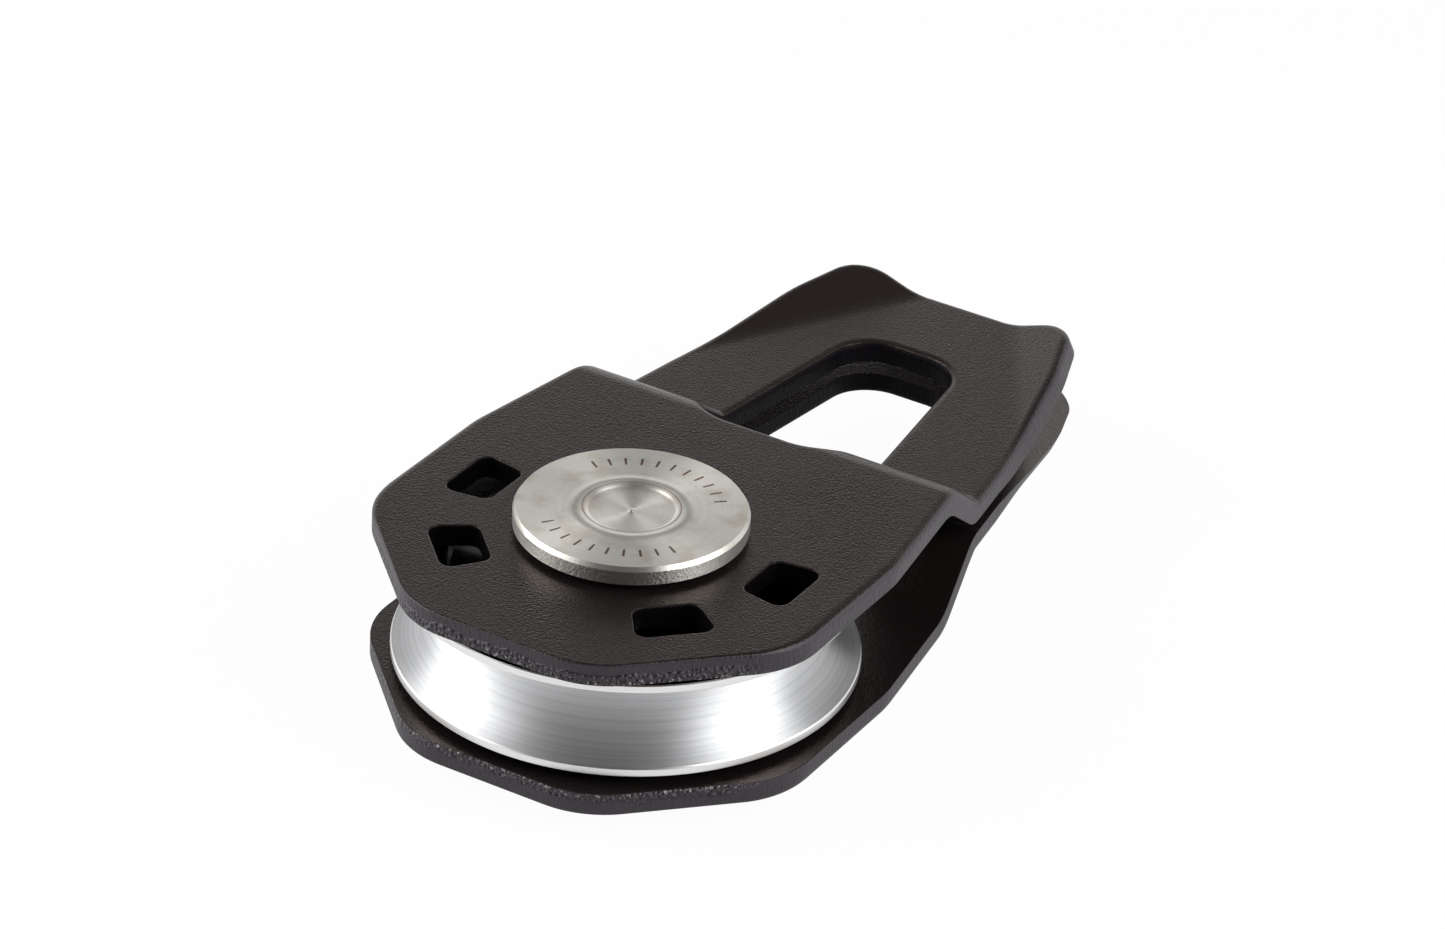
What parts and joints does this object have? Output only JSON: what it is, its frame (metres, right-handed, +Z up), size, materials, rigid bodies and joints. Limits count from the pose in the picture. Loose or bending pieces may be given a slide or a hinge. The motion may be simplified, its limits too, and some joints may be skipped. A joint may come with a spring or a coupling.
{
  "type": "snatch block",
  "caption": "Swing-cheek snatch block: joggled steel cheek plates with a long shackle slot and flared corners turn on a headed pin around a grooved rope sheave.",
  "frame": {"origin": "on the pin's axis, halfway between the cheek plates, at the middle of the sheave", "axes": "+Z up along the pin's axis, +Y along the cheek plates towards the shackle slot, +X to the right when looking along +Y"},
  "size_m": [0.1058, 0.1982, 0.0474],
  "materials": {
    "black_coat": "black powder coat, satin, with a fine texture",
    "turned_aluminium": "turned",
    "bronze": "machined bronze",
    "zinc": "turned steel, zinc plated, satin"
  },
  "bodies": {
    "axle": {"axle_pin": "zinc", "retaining_disc": "zinc"},
    "lower_cheek": {"lower_cheek_plate": "black_coat"},
    "upper_cheek": {"upper_cheek_plate": "black_coat"},
    "sheave_wheel": {"sheave": "turned_aluminium", "sheave_bush": "bronze"}
  },
  "joints": [
    {"name": "lower_cheek_swing", "type": "hinge", "parent": "axle", "child": "lower_cheek", "pos_m": [0, 0, 0], "axis": [0, 0, 1], "continuous": true},
    {"name": "upper_cheek_swing", "type": "hinge", "parent": "axle", "child": "upper_cheek", "pos_m": [0, 0, 0], "axis": [0, 0, 1], "continuous": true},
    {"name": "sheave_spin", "type": "hinge", "parent": "axle", "child": "sheave_wheel", "pos_m": [0, 0, 0], "axis": [0, 0, 1], "continuous": true}
  ]
}
